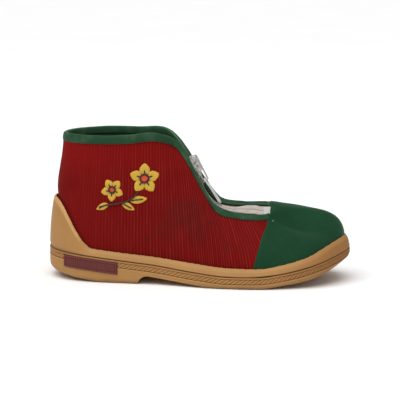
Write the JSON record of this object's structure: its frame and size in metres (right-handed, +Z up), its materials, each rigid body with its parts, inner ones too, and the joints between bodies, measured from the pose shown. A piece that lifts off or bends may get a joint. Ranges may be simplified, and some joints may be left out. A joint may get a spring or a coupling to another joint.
{
  "type": "zip ankle shoe",
  "caption": "Child's right ankle shoe with ribbed cloth sides, a felt toe, a bound collar and a zip front, on a moulded rubber sole with a heel counter and toe bumper.",
  "frame": {"origin": "on the ground, under the middle of the shoe's bounding box", "axes": "+X from heel to toe, +Y to the inner (medial) side of the foot, +Z up"},
  "size_m": [0.1936, 0.0736, 0.0941],
  "materials": {
    "rubber": "gum-coloured moulded rubber, satin, lightly worn",
    "corduroy": "red cotton corduroy with a fine upright rib",
    "footbed": "dark green brushed cloth",
    "felt": "bottle green felted jersey on the toe",
    "binding": "bottle green rolled cloth edging",
    "lining": "dark green brushed lining",
    "label": "maroon rubber plate, bare",
    "embroidery": "satin stitch in yellow, orange and black thread",
    "zip_tape": "white woven tape, slightly yellowed",
    "zip_nylon": "white nylon coil",
    "slider_metal": "plated metal, a little dulled",
    "pull_enamel": "white enamel on metal"
  },
  "bodies": {
    "shoe": {"upper": "corduroy", "foxing": "rubber", "outsole": "rubber", "insole": "footbed", "heel_label": "label", "collar_binding": "binding", "zip_tape_lateral": "zip_tape", "zip_tape_medial": "zip_tape", "zip_chain": "zip_nylon", "zip_end_stop": "zip_nylon", "zip_slider": "slider_metal"},
    "pull_tab": {"zip_pull_tab": "pull_enamel"}
  },
  "joints": [
    {"name": "pull_tab_swing", "type": "hinge", "parent": "shoe", "child": "pull_tab", "pos_m": [0.00439, -0.00189, 0.0641], "axis": [-0.0401, -0.999, 0.0218], "range_deg": [0, 125]}
  ]
}
